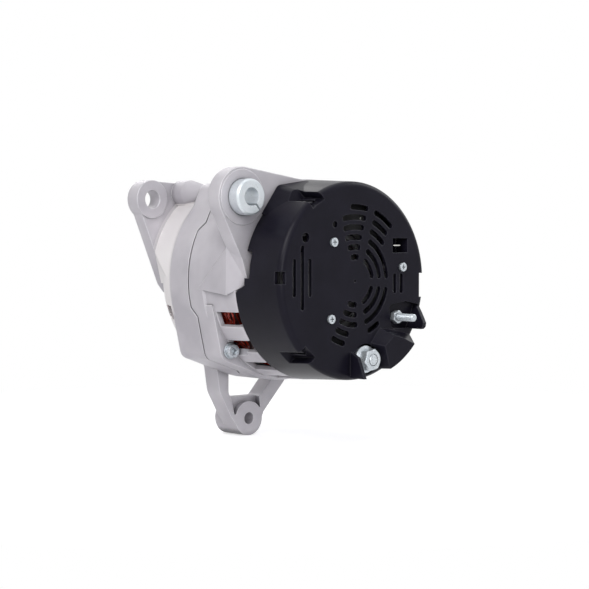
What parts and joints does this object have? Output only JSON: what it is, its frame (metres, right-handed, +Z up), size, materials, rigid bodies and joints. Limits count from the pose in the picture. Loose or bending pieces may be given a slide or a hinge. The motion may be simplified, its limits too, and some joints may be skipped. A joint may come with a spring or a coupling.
{
  "type": "alternator",
  "caption": "Compact car alternator with a vented plastic rear cover, cast brackets, pivot lugs, an adjusting ear, terminal studs and a ribbed belt pulley.",
  "frame": {"origin": "on the rotor axis at the middle of the pulley's belt grooves", "axes": "+Y along the rotor axis towards the drive end, +X to the right seen from the rear, +Z up"},
  "size_m": [0.1564, 0.1911, 0.1848],
  "materials": {
    "cover_plastic": "moulded, satin",
    "cast_aluminium": "die cast, matt",
    "zinc_steel": "bright zinc plated",
    "laminated_steel": "stacked sheet",
    "forged_steel": "machined",
    "fan_steel": "pressed sheet",
    "red_enamel_wire": "varnished wire",
    "heatsink_aluminium": "pressed, matt",
    "tinned_metal": "tinned",
    "board_plastic": "moulded",
    "carbon": "pressed carbon",
    "spring_steel": "wire",
    "bearing_steel": "ground",
    "ring_metal": "turned",
    "pulley_steel": "turned"
  },
  "bodies": {
    "housing": {"rear_cover": "cover_plastic", "rear_bracket": "cast_aluminium", "drive_end_bracket": "cast_aluminium", "cover_screws": "zinc_steel", "pivot_bushing": "zinc_steel", "through_bolts": "zinc_steel", "rectifier_screws": "zinc_steel", "regulator_screws": "zinc_steel", "b_plus_stud": "zinc_steel", "b_plus_washer": "zinc_steel", "b_plus_nut": "zinc_steel", "d_plus_stud": "zinc_steel", "d_plus_nut": "zinc_steel", "retainer_screws": "zinc_steel", "stator_core": "laminated_steel", "bearing_retainer": "forged_steel", "stator_winding": "red_enamel_wire", "stator_leads": "red_enamel_wire", "negative_heatsink": "heatsink_aluminium", "positive_heatsink": "heatsink_aluminium", "regulator_heatsink": "heatsink_aluminium", "negative_diodes": "tinned_metal", "positive_diodes": "tinned_metal", "w_terminal_blade": "tinned_metal", "rectifier_board": "board_plastic", "rectifier_spacers": "board_plastic", "b_plus_sleeve": "board_plastic", "regulator_body": "board_plastic", "brush_holder": "board_plastic", "rear_bearing_sleeve": "board_plastic", "outer_brush_spring": "spring_steel", "inner_brush_spring": "spring_steel", "rear_bearing_outer_race": "bearing_steel", "front_bearing_outer_race": "bearing_steel"},
    "rotor": {"rotor_shaft": "forged_steel", "rotor_yoke": "forged_steel", "pole_claw_rear": "forged_steel", "pole_claw_front": "forged_steel", "field_bobbin": "board_plastic", "field_coil": "red_enamel_wire", "rear_fan": "fan_steel", "front_fan": "fan_steel", "outer_slip_ring": "ring_metal", "inner_slip_ring": "ring_metal", "slip_ring_insulator": "board_plastic", "rear_bearing_inner_race": "bearing_steel", "front_bearing_inner_race": "bearing_steel", "inner_spacer": "bearing_steel", "pulley_spacer": "bearing_steel", "pulley": "pulley_steel", "pulley_washer": "zinc_steel", "pulley_nut": "zinc_steel"},
    "rear_ball_set": {"rear_bearing_balls": "bearing_steel", "rear_bearing_cage": "board_plastic"},
    "front_ball_set": {"front_bearing_balls": "bearing_steel", "front_bearing_cage": "board_plastic"},
    "outer_brush_body": {"outer_brush": "carbon"},
    "inner_brush_body": {"inner_brush": "carbon"}
  },
  "joints": [
    {"name": "rotor_spin", "type": "hinge", "parent": "housing", "child": "rotor", "pos_m": [0, 0, 0], "axis": [0, 1, 0], "continuous": true},
    {"name": "rear_bearing_roll", "type": "hinge", "parent": "housing", "child": "rear_ball_set", "pos_m": [0, 0, 0], "axis": [0, 1, 0], "continuous": true},
    {"name": "front_bearing_roll", "type": "hinge", "parent": "housing", "child": "front_ball_set", "pos_m": [0, 0, 0], "axis": [0, 1, 0], "continuous": true},
    {"name": "outer_brush_slide", "type": "slide", "parent": "housing", "child": "outer_brush_body", "axis": [-1, 0, 0], "range_m": [0, 0.004], "stiffness_N_per_m": 200, "springref_m": -0.01, "deforming": ["outer_brush_spring"]},
    {"name": "inner_brush_slide", "type": "slide", "parent": "housing", "child": "inner_brush_body", "axis": [-1, 0, 0], "range_m": [0, 0.004], "stiffness_N_per_m": 200, "springref_m": -0.01, "deforming": ["inner_brush_spring"]}
  ],
  "couplings": [
    {"joint": "rear_bearing_roll", "follows": "rotor_spin", "ratio": 0.40846},
    {"joint": "front_bearing_roll", "follows": "rotor_spin", "ratio": 0.36562}
  ]
}
